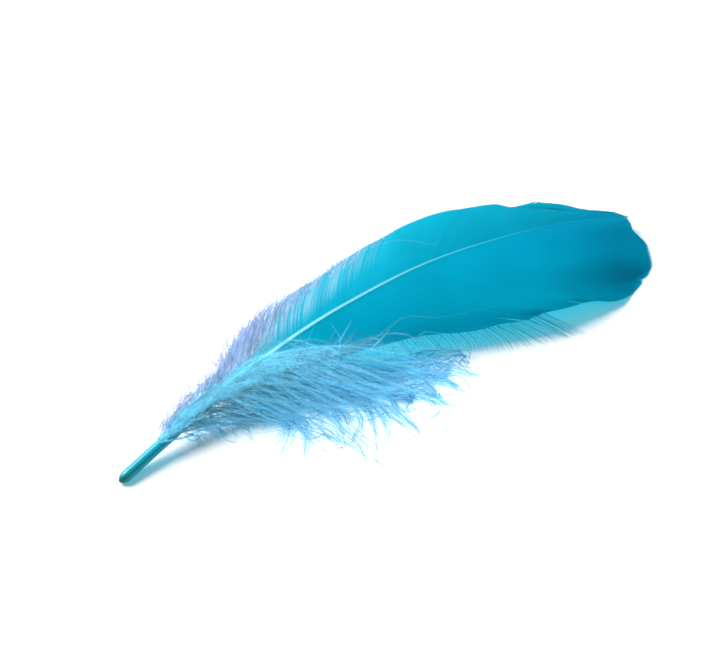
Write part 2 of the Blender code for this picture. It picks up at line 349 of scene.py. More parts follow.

# The dye along the vanes, from base to tip, darker towards the tip partly from denser barbs and
# partly as painted shade of the tip sloping away from the light, and where they are pale. The glow
# is what comes through them, and a shadow colour is the share of light that gets past.
VANE_DYE_AND_SHADE = (
    (0.0, (0.0, 0.320, 0.440)),
    (0.45, (0.0, 0.280, 0.390)),
    (0.70, (0.0, 0.231, 0.355)),
    (0.85, (0.0, 0.188, 0.335)),
    (1.0, (0.0, 0.166, 0.318)),
)
VANE_PALE = (0.40, 0.54, 0.64)
VANE_GLOW = (0.0, 0.63, 0.82)
VANE_PALE_GLOW = (0.48, 0.68, 0.78)
VANE_SHADOW = (0.0, 0.27, 0.36)

# The colours of the horn along the shaft, of the loose barb ends from dyed to pale, and of the
# two kinds of down from the root of a barb to its tip
HORN_LAST_X = 0.18
HORN = (
    (0.010, (0.00, 0.10, 0.11)),
    (0.028, (0.00, 0.38, 0.46)),
    (0.12, (0.00, 0.46, 0.64)),
    (0.30, (0.29, 0.74, 0.82)),
    (0.58, (0.20, 0.66, 0.78)),
    (0.72, (0.08, 0.56, 0.70)),
    (0.82, (0.02, 0.52, 0.70)),
    (0.92, (0.00, 0.40, 0.60)),
)
HORN_SHADOW = (0.16, 0.46, 0.52)
FREE_END_DYE = ((0.0, (0.0, 0.38, 0.48)), (0.6, (0.06, 0.50, 0.60)), (1.0, (0.40, 0.70, 0.80)))
FREE_END_SHADOW = (0.45, 0.72, 0.78)
PALE_DOWN = ((0.0, (0.32, 0.74, 0.84)), (1.0, (0.22, 0.56, 0.76)))
LILAC_DOWN = ((0.0, (0.50, 0.66, 0.80)), (1.0, (0.50, 0.56, 0.78)))
DOWN_SHADOW = (0.78, 0.88, 0.91)

# The table and the lights
FLOOR_SIZE = 8.0
WORLD_LIGHT = 0.22
KEY_SIZE = 0.8
KEY_POWER = 34.0
KEY_PLACE = (-0.44, 0.88, 0.88)

# The camera looks from the broad side, over the quill
CAMERA_AZIMUTH = math.radians(-33.3)
CAMERA_ELEVATION = math.radians(52.0)
CAMERA_LENS = 135.0
CAMERA_DISTANCE = 0.8544
CAMERA_TARGET = np.array((0.0930, 0.0044, 0.0080))


def through(rows, at):
    """Reads the smooth curve through rows of (key, value, ...) at an array of keys."""
    table = np.array(rows)
    keys, values = table[:, 0], table[:, 1:]
    at = np.clip(at, keys[0], keys[-1])
    low = np.clip(np.searchsorted(keys, at, side="right") - 1, 0, len(keys) - 2)
    slopes = np.empty_like(values)
    slopes[1:-1] = (values[2:] - values[:-2]) / (keys[2:] - keys[:-2])[:, None]
    slopes[0] = (values[1] - values[0]) / (keys[1] - keys[0])
    slopes[-1] = (values[-1] - values[-2]) / (keys[-1] - keys[-2])
    span = (keys[low + 1] - keys[low])[..., None]
    t = (at - keys[low])[..., None] / span
    rise = values[low + 1] - values[low]
    start = slopes[low] * span
    end = slopes[low + 1] * span
    bend = 3 * rise - 2 * start - end
    twist = start + end - 2 * rise
    return values[low] + t * (start + t * (bend + t * twist))


def shaft_points(x):
    return np.concatenate([np.asarray(x)[..., None], through(SHAFT_LINE, x)], -1)


def shaft_radii(x):
    table = np.array(SHAFT_RADIUS)
    return np.interp(x, table[:, 0], table[:, 1])


def smooth(t):
    t = np.clip(t, 0.0, 1.0)
    return t * t * (3 - 2 * t)


def bump(at, middle, width):
    return np.exp(-(((at - middle) / width) ** 2))


def unit(v):
    return v / np.maximum(np.linalg.norm(v, axis=-1, keepdims=True), 1e-12)


def crossways(along):
    """The level direction across each direction along a line, and the one upward from both."""
    across = unit(np.cross(along, (0.0, 0.0, 1.0)))
    return across, np.cross(across, along)


def rise_from(at, begins, length):
    """Goes from 0 to 1 over a length that begins at a place."""
    return smooth((at - begins) / length)


def fall_to(at, ends, length):
    """Goes from 1 to 0 over a length that ends at a place."""
    return smooth((ends - at) / length)


def spots(rows, root, reach, form=bump):
    """The sum of soft spots on a vane. form is what each does along the barbs."""
    total = 0.0
    for height, place, width, spot, spread in rows:
        total = total + height * bump(root, place, width) * form(reach, spot, spread)
    return total


def vane_points(root, reach, side):
    """Points of a vane's middle surface. root is where the barb leaves the shaft and reach runs
    from 0 there to 1 at the vane's edge."""
    start = shaft_points(root)
    start[..., 1] += BARB_FOOT_OUT * side * shaft_radii(root)
    start[..., 2] += BARB_FOOT_UP * shaft_radii(root)
    edge = through(EDGES[side], root)
    barb = edge - start
    reach = np.asarray(reach)[..., None]
    outward = np.stack([-barb[..., 1], barb[..., 0], np.zeros(barb.shape[:-1])], -1) * side
    points = start + barb * reach + outward * BARB_BOW * 4 * reach * (1 - reach)
    nearer_tip = rise_from(np.asarray(root), DROOP_CHANGE_START, DROOP_CHANGE_LENGTH)[..., None]
    steep = DROOP_AT_BASE + (DROOP_AT_TIP - DROOP_AT_BASE) * nearer_tip
    fall = steep * reach + (1 - steep) * reach**2
    points[..., 2:] = start[..., 2:] + barb[..., 2:] * fall
    points[..., 2] += vane_ripple(root, reach[..., 0], side)
    points[..., 2] = np.maximum(points[..., 2], LEAST_HEIGHT / 3)
    return points


def vane_ripple(root, reach, side):
    """How far the vanes stand off their smooth form: slight waves and a shallow crease along the
    narrow edge near the tip. The broad vane has a bulge with a hollow outside it, and its margin
    is lowered at the tip and raised further back."""
    (slow_height, slow), (quick_height, quick) = WAVES
    wave = slow_height * np.sin(root * slow + 1.3 * side)
    wave = wave + quick_height * np.sin(root * quick + 2.0)
    lift = wave * reach**2 * fall_to(root, 0.185, 0.03) + spots(SWELLS[side], root, reach)
    if side < 0:
        lift = lift + spots(MARGIN_LIFTS, root, reach, rise_from)
    return lift


def parted(root, reach, side):
    """Moves barbs aside from each split, the more the further out on the barb."""
    moved = root
    for place, gap, begins in SPLITS[side]:
        place = VANE_FIRST_ROOT + round((place - VANE_FIRST_ROOT) / BARB_PITCH) * BARB_PITCH
        offset = root - place
        opened = gap / 2 * rise_from(reach, begins, 1 - begins)
        moved = moved + np.sign(offset) * opened * np.exp(-np.abs(offset) / SPLIT_REACH)
    return moved


def edge_wave(root, side):
    """How much longer than the smooth edge asks the barbs at root are, in metres."""
    return sum(height * bump(root, place, width) for place, height, width in EDGE_WAVES[side])


def paleness(root, reach, side):
    """Where the vanes are downy and pale: at the base, most of all along the narrow edge, in
    streaks that follow the barbs."""
    streak = 0.5 + 0.5 * np.sin(root * 2700 + 3 * np.sin(root * 690) + 1.3 * np.sin(root * 4900))
    if side > 0:
        downy = fall_to(root, 0.073, 0.032)
        streaked = fall_to(root, 0.110, 0.030) * (0.06 + 0.50 * streak**1.5)
        begins = 0.28 * rise_from(root, 0.072, 0.03)
        streaked = (1 - downy) * streaked * rise_from(reach, begins, 0.4)
        return downy * (0.30 + 0.45 * reach) + streaked
    base = fall_to(root, 0.086, 0.03)
    return base * rise_from(reach, 0.25, 0.6) * (0.35 + 0.20 * streak)


def painted_shade_on_vanes(root, reach, side):
    """Painted shade: how much darker the vanes are painted where they lie in shade: in the crease
    along the narrow edge near the tip, in the hollow and on the face of the broad side there, and
    in two dents of its edge."""
    painted_shade = spots(PAINTED_SHADE_SPOTS[side], root, reach)
    if side < 0:
        painted_shade = painted_shade + spots(MARGIN_PAINTED_SHADE_SPOTS, root, reach, rise_from)
    return painted_shade


def mesh_piece(name, points, corners, sizes, material, attributes, smoothed=True):
    mesh = bpy.data.meshes.new(name)
    mesh.vertices.add(len(points))
    mesh.vertices.foreach_set("co", (points - ORIGIN).astype(np.float32).ravel())
    mesh.loops.add(len(corners))
    mesh.loops.foreach_set("vertex_index", corners.astype(np.int32))
    mesh.polygons.add(len(sizes))
    starts = np.concatenate([[0], np.cumsum(sizes)[:-1]])
    mesh.polygons.foreach_set("loop_start", starts.astype(np.int32))
    mesh.update(calc_edges=True)
    mesh.validate()
    if smoothed:
        mesh.shade_smooth()
    for key, values in attributes.items():
        layer = mesh.attributes.new(key, "FLOAT", "POINT")
        layer.data.foreach_set("value", values.astype(np.float32).ravel())
    mesh.materials.append(material)
    piece = bpy.data.objects.new(name, mesh)
    bpy.context.scene.collection.objects.link(piece)
    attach(piece, "root")
    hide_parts("feather")


def ribbon_faces(count, rows, columns):
    """Corners and sizes of the faces of count open ribbons, each of rows x columns points."""
    ribbon = np.arange(count)[:, None, None] * rows * columns
    row = np.arange(rows - 1)[None, :, None] * columns
    column = np.arange(columns - 1)[None, None, :]
    first = ribbon + row + column
    quads = np.stack([first, first + 1, first + columns + 1, first + columns], -1).reshape(-1, 4)
    return quads.ravel(), np.full(len(quads), 4)


def tube_faces(count, rings, sides):
    """Corners and sizes of the faces of count closed tubes, each of rings x sides points."""
    tube = np.arange(count)[:, None, None] * rings * sides
    ring = np.arange(rings - 1)[None, :, None] * sides
    side = np.arange(sides)[None, None, :]
    after = (side + 1) % sides
    walls = np.stack([tube + ring + side, tube + ring + after,
                      tube + ring + sides + after, tube + ring + sides + side], -1)
    first = tube[:, 0] + np.arange(sides)[None, ::-1]
    last = tube[:, 0] + (rings - 1) * sides + np.arange(sides)[None, :]
    walls = walls.reshape(-1, 4)
    caps = np.concatenate([first, last])
    corners = np.concatenate([walls.ravel(), caps.ravel()])
    sizes = np.concatenate([np.full(len(walls), 4), np.full(len(caps), sides)])
    return corners, sizes


def bezier(knots, t):
    """The curve with four knots, or many such curves, at the shares t."""
    t = t[:, None]
    weights = ((1 - t) ** 3, 3 * t * (1 - t) ** 2, 3 * t**2 * (1 - t), t**3)
    return sum(weight * knots[..., k, None, :] for k, weight in enumerate(weights))


def tubes(lines, radii, sides):
    """Round tubes along lines, an array of tube x point x 3, with a radius at each point."""
    across, up = crossways(unit(np.gradient(lines, axis=1)))
    turn = 2 * np.pi * np.arange(sides) / sides
    rings = lines[:, :, None] + radii[:, :, None, None] * (
        np.cos(turn)[:, None] * across[:, :, None] + np.sin(turn)[:, None] * up[:, :, None]
    )
    count, rows = lines.shape[:2]
    corners, sizes = tube_faces(count, rows, sides)
    return rings.reshape(-1, 3), corners, sizes


def make_vane(name, side, material):
    """One vane: a ribbon for each barb, ridged along its middle, which meets its neighbours in a
    shallow valley. Those at the base are loose and end unevenly."""
    rng = np.random.default_rng(VANE_SEED + side)
    count = int(round((VANE_LAST_ROOT - VANE_FIRST_ROOT) / BARB_PITCH))
    low = VANE_FIRST_ROOT + BARB_PITCH * np.arange(count)[:, None]
    share = 1 - (1 - np.linspace(0.0, 1.0, BARB_STEPS)) ** OUTER_CROWDING
    barb = through(EDGES[side], low[:, 0]) - shaft_points(low[:, 0])
    length = np.linalg.norm(barb, axis=1)[:, None]
    longer = edge_wave(low, side) + rng.uniform(-1.0, 1.0, (count, 1)) * BARB_UNEVEN
    loose = fall_to(low, LOOSE_BELOW[side], LOOSE_FADE)
    longer = longer + rng.uniform(-1.0, 0.8, (count, 1)) * loose * LOOSE_END
    reach = share[None, :] * (1 + longer / length)
    inside = BARB_PITCH / 1000  # keeps both edges of a barb on the same side of a split
    left_root = parted(low + inside, reach, side)
    right_root = parted(low + BARB_PITCH - inside, reach, side)
    left = vane_points(left_root, reach, side)
    right = vane_points(right_root, reach, side)
    middle = vane_points((left_root + right_root) / 2, reach, side)
    along = np.gradient(middle, axis=1)
    normal = unit(np.cross(right - left, along))
    normal *= np.where(normal[..., 2:] < 0, -1.0, 1.0)
    taper = np.clip((1 - share)[None, :] * length / BARB_POINT, 0.15, 1.0)[..., None]
    stray = rng.normal(0.0, LOOSE_STRAY, (count, 1, 3)) * (loose * reach**2)[..., None]
    left = middle + (left - middle) * taper + stray
    right = middle + (right - middle) * taper + stray
    top = middle + normal * BARB_RIDGE * taper + stray
    order = (right, top, left) if side < 0 else (left, top, right)
    rows = np.stack(order, 2)
    corners, sizes = ribbon_faces(count, BARB_STEPS, len(order))
    roots = np.broadcast_to(low, reach.shape)
    attributes = {
        "barb": np.repeat(rng.random(count), BARB_STEPS * len(order)),
        "root": np.repeat(roots.ravel(), len(order)),
        "pale": np.repeat(paleness(roots, reach, side).ravel(), len(order)),
        # painted shade of the crease, hollows and dents, per point
        "painted_shade": np.repeat(painted_shade_on_vanes(roots, reach, side).ravel(), len(order)),
    }
    mesh_piece(name, rows.reshape(-1, 3), corners, sizes, material, attributes)


def make_free_ends(material):
    """Barb ends that hang loose from the broad edge: they run on, curl away like the teeth of a
    comb and come down to the table."""
    rng = np.random.default_rng(FREE_END_SEED)
    roots = np.linspace(*FREE_END_ROOTS, FREE_ENDS) + rng.normal(0.0, 0.00012, FREE_ENDS)
    t = np.linspace(0.0, 1.0, FREE_END_STEPS)
    lines = []
    for root in roots:
        start = vane_points(root, 0.97, -1) - (0.0, 0.0, 0.0004)
        edge = vane_points(root, 1.0, -1) - (0.0, 0.0, 0.0003)
        onward = unit(edge - start)
        nearness = float(rise_from(root, 0.090, 0.014))
        length = rng.uniform(*FREE_END_LENGTHS) + FREE_END_LONGER * nearness
        toward_tip = -0.75 + 1.25 * nearness + 0.10 * math.sin(root * 2600)
        toward_tip = toward_tip + rng.normal(0.0, 0.06)
        away = unit(np.array((toward_tip, -1.0, 0.0)))
        bend = edge + onward * length * (0.55 + 0.15 * rng.random())
        line = bezier(np.stack([start, edge, bend, bend + away * length * 0.75]), t)
        line[:, 2] = np.maximum(start[2] * (1 - t) ** 1.1, LEAST_HEIGHT)
        lines.append(line)
    lines = np.array(lines)
    radii = np.broadcast_to(FREE_END_RADIUS * (1 - 0.7 * t), lines.shape[:2])
    points, corners, sizes = tubes(lines, radii, FREE_END_SIDES)
    each = FREE_END_STEPS * FREE_END_SIDES
    downy = fall_to(roots, 0.096, 0.014)
    barb_tones = rng.random(FREE_ENDS)
    pale = np.maximum(downy, (rng.random(FREE_ENDS) < FREE_END_PALE) * 0.8)
    attributes = {"barb": np.repeat(barb_tones, each), "pale": np.repeat(pale, each)}
    mesh_piece("free_barb_ends", points, corners, sizes, material, attributes)


def make_shaft(material):
    """The round quill, which turns into a ridge with a flatter top and a groove beneath."""
    stations = np.concatenate([
        np.linspace(SHAFT_LINE[0][0], QUILL_FULL_AT, QUILL_END_RINGS),
        np.linspace(0.0060, SHAFT_LINE[-1][0], SHAFT_RINGS),
    ])
    line = shaft_points(stations)
    radius = shaft_radii(stations)
    round_end = np.clip((stations - 0.0019) / 0.0026, 0.0, 1.0)
    radius = radius * np.sqrt(1 - (1 - round_end) ** 2 * 0.85)
    across, up = crossways(unit(np.gradient(line, axis=0)))
    turn = 2 * np.pi * np.arange(SHAFT_SIDES) / SHAFT_SIDES
    ridge = rise_from(stations, 0.03, 0.03)[:, None]
    wide = np.cos(turn)[None, :]
    high = np.sin(turn)[None, :]
    groove = ridge * GROOVE_DEPTH * np.exp(-((wide / 0.4) ** 2)) * (high < 0)
    high = np.where(high > 0, high * (1 - RIDGE_FLATTENED * ridge), high * (1 - groove))
    rings = line[:, None] + radius[:, None, None] * (
        wide[..., None] * across[:, None] + high[..., None] * up[:, None]
    )
    corners, sizes = tube_faces(1, len(stations), SHAFT_SIDES)
    rings[..., 2] = np.maximum(rings[..., 2], 0.0)
    attributes = {
        "root": np.repeat(stations, SHAFT_SIDES),
        # how high around the shaft each point is, for painted shade on the underside
        "up": np.tile(np.sin(turn), len(stations)),
    }
    mesh_piece("shaft", rings.reshape(-1, 3), corners, sizes, material, attributes)


def resting_surface():
    """The tops of both vanes and of the shaft, for laying loose barbs on."""
    along = np.linspace(VANE_FIRST_ROOT, VANE_LAST_ROOT, REST_ROWS)
    roots, reaches = np.meshgrid(along, np.linspace(0, 1, REST_COLUMNS), indexing="ij")
    vanes = [vane_points(roots, reaches, side).reshape(-1, 3) for side in (1, -1)]
    vane_corners, _ = ribbon_faces(len(vanes), REST_ROWS, REST_COLUMNS)
    stations = np.linspace(SHAFT_LINE[0][0], SHAFT_LINE[-1][0], REST_RINGS)
    line = shaft_points(stations)[None]
    shaft, corners, sizes = tubes(line, shaft_radii(stations)[None], REST_SIDES)
    points = np.concatenate([*vanes, shaft])
    walls = corners[:4 * np.count_nonzero(sizes == 4)] + len(points) - len(shaft)
    faces = np.concatenate([vane_corners, walls]).reshape(-1, 4)
    return BVHTree.FromPolygons(points.tolist(), faces.tolist())


def heights_under(surface, points):
    """The height of the surface at each point's x and y, or else of the table."""
    down = Vector((0.0, 0.0, -1.0))
    heights = []
    for x, y, _ in points.reshape(-1, 3):
        hit = surface.ray_cast(Vector((x, y, SKY)), down)[0]
        heights.append(hit.z if hit else 0.0)
    return np.array(heights).reshape(points.shape[:-1])


def laid_over(surface, lines, clearance):
    """Lifts lines over what lies below them, and lets them span the step at the vane's edge."""
    lines = lines.copy()
    floor = heights_under(surface, lines) + clearance
    height = np.maximum(lines[..., 2], floor)
    for _ in range(EVENING_ROUNDS):
        even = height.copy()
        even[:, 1:-1] = (height[:, :-2] + 2 * height[:, 1:-1] + height[:, 2:]) / 4
        height = np.maximum(even, floor)
    lines[..., 2] = height
    return lines


def curly(line, rng, size, t):
    """Adds a slow random bend and a finer wave to a line, the more the nearer its tip."""
    swing = rng.normal(0.0, size, 3) * (1, 1, 0.5)
    quick = rng.normal(0.0, size * 0.35, 3) * (1, 1, 0.4)
    turns = rng.uniform(1.0, 2.2)
    line = line + swing * np.sin(np.pi * t**0.8)[:, None]
    return line + quick * (t * np.sin(2 * np.pi * turns * t + rng.uniform(0, 6)))[:, None]


def arched(flat, height, t):
    """A line over the points flat, which rises soon and comes down slowly."""
    return np.column_stack([flat, height * np.sin(np.pi * t**0.8) * (1 - 0.6 * t)])


def curl(heading, length):
    """A level line of this length that follows its headings, from its first step's end."""
    step = np.stack([np.cos(heading), np.sin(heading), np.zeros_like(heading)], 1)
    return np.cumsum(step * length / len(heading), 0)


def flow_point(across, along):
    """The point x, y of the narrow side's flow, across its guides and a share along them."""
    guides = np.array(NARROW_FLOW)
    keys = np.linspace(0.0, 1.0, guides.shape[1])
    across = np.clip(across, 0.0, len(guides) - 1.0)
    low = np.minimum(across.astype(int), len(guides) - 2)
    part = (across - low)[:, None]
    lines = []
    for side in (low, low + 1):
        rows = [np.concatenate([keys[:, None], guide], 1) for guide in guides]
        lines.append(np.array([through(rows[k], a) for k, a in zip(side, along)]))
    return lines[0] * (1 - part) + lines[1] * part


def narrow_barbs(rng, t):
    """Barbs that follow the narrow side's flow at first side by side and spread out, then draw
    together towards the tips of its tufts. Some stay loose between them."""
    last = len(NARROW_FLOW) - 1.0
    tufts = NARROW_TUFTS
    centres = (np.arange(tufts) + rng.uniform(0.1, 0.9, tufts)) / tufts * last
    reaches = rng.uniform(0.74, 1.0, tufts)
    hooks = rng.normal(0.0, 0.32, tufts)
    lines = []
    for _ in range(NARROW_BARBS):
        across = rng.uniform(-0.1, last + 0.1)
        tuft = int(np.argmin(np.abs(centres - across)))
        loose = rng.random() < NARROW_LOOSE
        begin = rng.uniform(0.0, 0.3)
        end = reaches[tuft] * rng.uniform(0.5, 1.0) * (rng.uniform(0.6, 1.0) if loose else 1.0)
        end = max(end, begin + 0.25)
        along = begin + (end - begin) * t
        drawn = rng.uniform(0.0, 0.5) if loose else rng.uniform(0.65, 1.0)
        drawn = drawn * rise_from(along, 0.4, 0.5)
        hook = hooks[tuft] * rise_from(along, 0.65, 0.35)
        phase = 2 * np.pi * rng.uniform(0.4, 1.2) * t + rng.uniform(0.0, 6.0)
        wander = rng.normal(0.0, 0.16) * np.sin(phase)
        place = across + (centres[tuft] + hook - across) * drawn + wander * (1 - 0.6 * drawn)
        flat = flow_point(place, np.clip(along, 0.0, 1.0))
        heading = unit(np.gradient(flat, axis=0))
        room = rise_from(flat[:, :1], 0.018, 0.03) * (1 - rise_from(along, 0.45, 0.45))[:, None]
        flat = flat + np.stack([-heading[:, 1], heading[:, 0]], 1) * room * rng.normal(0.0, 0.0006)
        line = arched(flat, rng.uniform(0.0, 0.003), t)
        lines.append(curly(line, rng, 0.0010, t))
    return np.array(lines)


def lock_barbs(rng, t):
    """The barbs of the locks. They leave the shaft side by side, cross one another over the
    vane's lower edge and draw together at the bend of their lock. A third stay loose."""
    fluff = np.array(FLUFF)
    lines = []
    for bend, tip, count in LOCKS:
        for _ in range(count):
            loose = rng.random() < LOCK_LOOSE
            free = LOCK_FREEDOM if loose else 1.0
            first = bend[0] - rng.uniform(0.028, 0.050)
            if first > SHAFT_BARBS[1]:
                first = rng.uniform(0.040, SHAFT_BARBS[1])
            if first < SHAFT_BARBS[0]:
                first = rng.uniform(SHAFT_BARBS[0], 0.028)
            start = shaft_points(first) + (0.0, 0.0, 0.3 * shaft_radii(first))
            knots = [(0.0, start[0], start[1])]
            for key, share, drop in LOCK_COURSE:
                x = first + (bend[0] - first) * (share + rng.normal(0.0, 0.05))
                y, spread = (np.interp(x, fluff[:, 1], fluff[:, k]) for k in (2, 3))
                y = y + drop * (bend[1] - y) + rng.normal(0.0, 0.65) * spread
                knots.append((key, x + rng.normal(0.0, 0.0015), y))
            knots.append((LOCK_BEND_AT, *(np.array(bend) + rng.normal(0.0, 0.0010 * free, 2))))
            knots.append((1.0, *(np.array(tip) + rng.normal(0.0, 0.0009 * free, 2))))
            last = rng.uniform(0.66, 1.0) if loose else rng.uniform(0.84, 1.0)
            flat = through(knots, t * last)
            line = arched(flat, rng.uniform(0.0, 0.004), t)
            lines.append(curly(line, rng, 0.0015, t))
    return np.array(lines)


def spike_barbs(rng, t):
    """A few long barbs that stand out from the narrow side's down."""
    lines = []
    for across in np.linspace(0.4, 5.6, SPIKES) + rng.normal(0.0, 0.12, SPIKES):
        flat = flow_point(np.full(len(t), across), np.clip(0.3 + 0.7 * t, 0.0, 1.0))
        line = np.column_stack([flat, np.full(len(t), SPIKE_HEIGHT)])
        outward = unit(np.array((rng.normal(0.45, 0.25), 1.0, 0.0)))
        line += outward * (rng.uniform(0.003, 0.009) * t**2)[:, None]
        line[:, 2] += rng.uniform(0.0, 0.003) * t
        lines.append(curly(line, rng, 0.0008, t))
    return np.array(lines)


def fluff_barbs(rng, t):
    """Curly loose barbs in all directions, which lie over the shaft's foot and over the lower
    edge of the broad vane."""
    lines = []
    for _ in range(FLUFF_BARBS):
        along = rng.random() ** 0.85
        x, y, spread = through(FLUFF, along)
        x = x + rng.normal(0.0, 0.003)
        y = y + min(rng.normal(0.0, 0.55), 0.8 - 0.2 * along) * spread
        heading = math.radians(45.0 - 80.0 * along) + rng.normal(0.0, 0.85 - 0.4 * along)
        heading = min(heading, math.radians(110.0 - 90.0 * along))
        turn = rng.normal(-0.5, 1.2 - 0.5 * along)
        length = rng.uniform(0.005, 0.013) * (0.6 + 0.4 * min(along * 4, 1.0))
        length = length * (1 - 0.35 * along)
        line = np.array((x, y, 0.0)) + curl(heading + turn * t, length)
        line[:, 2] = rng.uniform(0.0, 0.002) * np.sin(np.pi * t)
        lines.append(curly(line, rng, 0.0005, t))
    return np.array(lines)


def base_barbs(rng, t):
    """Loose downy barbs that lie along the narrow vane's base and stand out past its edge."""
    lines = []
    for _ in range(BASE_BARBS):
        root = BASE_FIRST_ROOT + BASE_STRETCH * rng.random() ** 1.7
        further = 0.65 * float(rise_from(root, 0.055, 0.03))
        start_reach = min(rng.uniform(0.03, 0.5) + further, 0.9)
        end_reach = rng.uniform(0.75, 1.0) + 0.2 * rng.random() ** 2 * (root < 0.062)
        reach = start_reach + (end_reach - start_reach) * t
        drift = root + rng.normal(0.0, 0.0028) * t**1.5
        line = vane_points(np.maximum(drift, VANE_FIRST_ROOT), reach, 1)
        line[:, 0] += np.minimum(drift - VANE_FIRST_ROOT, 0.0)
        line[:, 2] += rng.uniform(0.0003, 0.0016) * np.sin(np.pi * t * 0.9)
        lines.append(curly(line, rng, 0.0005, t))
    return np.array(lines)


def edge_wisps(rng, t):
    """Short hairs of down off the narrow edge, some of which curl right round."""
    lines = []
    for number in range(WISPS):
        root = WISP_FIRST_ROOT + WISP_STRETCH * rng.random() ** 1.6
        reach = rng.uniform(0.80, 0.99)
        start = vane_points(root, reach, 1)
        outward = unit(start - vane_points(root, reach - 0.1, 1))
        nearness = 1 - (root - WISP_FIRST_ROOT) / WISP_STRETCH
        length = rng.uniform(0.0020, 0.0060) * (0.35 + 0.85 * nearness)
        turn = rng.normal(0.1, 0.6)
        if number % CURLED_WISP == 0:
            turn = rng.choice((-1.0, 1.0)) * rng.uniform(2.0, 4.2)
            length *= 1.5
        heading = np.arctan2(outward[1], outward[0]) + rng.normal(0.1, 0.35) + turn * t
        bent = curl(heading, length)
        line = start + bent - bent[0]
        line[:, 2] += rng.uniform(-0.0010, 0.0022) * t
        lines.append(line)
    return np.array(lines)


def single_hairs(t):
    """The hairs that stand alone, as even curves through their points."""
    lines = []
    for knots in HAIRS:
        rows = [(k / (len(knots) - 1), *knot) for k, knot in enumerate(knots)]
        lines.append(through(rows, t))
    return np.array(lines)


def resampled(lines, count):
    """Each line read at count even steps."""
    at = np.linspace(0, lines.shape[1] - 1, count)
    low = np.minimum(at.astype(int), lines.shape[1] - 2)
    part = (at - low)[None, :, None]
    return lines[:, low] * (1 - part) + lines[:, low + 1] * part


def barbules(lines, tones, rng, size_at_base, size_at_tip):
    """Fine slivers along both sides of each loose barb: points, corners, sizes, the share of the
    barb at which each stands and its barb's tone."""
    length = np.linalg.norm(np.diff(lines, axis=1), axis=2).sum(1)
    order = np.argsort(length)
    made = []
    shares = []
    toned = []
    for group in np.array_split(order, min(BARBULE_GROUPS, len(order))):
        chosen = lines[group]
        count = max(int(length[group].mean() / BARBULE_PITCH), BARBULE_LEAST)
        fine = resampled(chosen, count)
        along = unit(np.gradient(fine, axis=1))
        across, up = crossways(along)
        share = np.broadcast_to(np.linspace(0.0, 1.0, count), fine.shape[:2])
        full = size_at_base + (size_at_tip - size_at_base) * share**0.7
        full = full * (0.35 + 0.65 * smooth(share / 0.2))
        for hand in (-1.0, 1.0):
            tilt = rng.normal(0.0, 0.8, share.shape)
            lean = rng.uniform(*BARBULE_LEAN, share.shape)
            out = hand * np.cos(tilt)[..., None] * across + np.sin(tilt)[..., None] * up
            size = full * rng.uniform(*BARBULE_SHARE, share.shape)
            heading = np.cos(lean)[..., None] * along + np.sin(lean)[..., None] * out
            base = fine + along * (rng.uniform(-0.5, 0.5, share.shape) * BARBULE_PITCH)[..., None]
            flat = unit(np.cross(heading, out + up * 0.3)) * BARBULE_WIDTH / 2
            sliver = np.stack([base - flat, base + flat, base + heading * size[..., None]], 2)
            made.append(sliver.reshape(-1, 3, 3))
            shares.append(np.repeat(share.ravel(), 3))
            toned.append(np.repeat(tones[group], count * 3))
    slivers = np.concatenate(made)
    slivers[..., 2] = np.maximum(slivers[..., 2], LEAST_HEIGHT / 3)
    corners = np.arange(len(slivers) * 3)
    sizes = np.full(len(slivers), 3)
    return slivers.reshape(-1, 3), corners, sizes, np.concatenate(shares), np.concatenate(toned)


def make_down(name, lines, rng, material, barbule_sizes):
    """A piece of down: the barbs as thin tubes, with their barbules."""
    t = np.linspace(0, 1, lines.shape[1])
    radii = np.broadcast_to(DOWN_RADIUS * (1 - 0.6 * t), lines.shape[:2])
    stems, stem_corners, stem_sizes = tubes(lines, radii, DOWN_SIDES)
    tones = rng.random(len(lines))
    fluff, fluff_corners, fluff_sizes, shares, toned = barbules(lines, tones, rng, *barbule_sizes)
    stem_share = np.repeat(np.tile(t, len(lines)), DOWN_SIDES)
    points = np.concatenate([stems, fluff])
    corners = np.concatenate([stem_corners, fluff_corners + len(stems)])
    sizes = np.concatenate([stem_sizes, fluff_sizes])
    attributes = {
        "reach": np.concatenate([stem_share, shares]),
        "barb": np.concatenate([np.repeat(tones, len(t) * DOWN_SIDES), toned]),
    }
    mesh_piece(name, points, corners, sizes, material, attributes, smoothed=False)


def rgba(colour):
    return (*colour, 1.0)


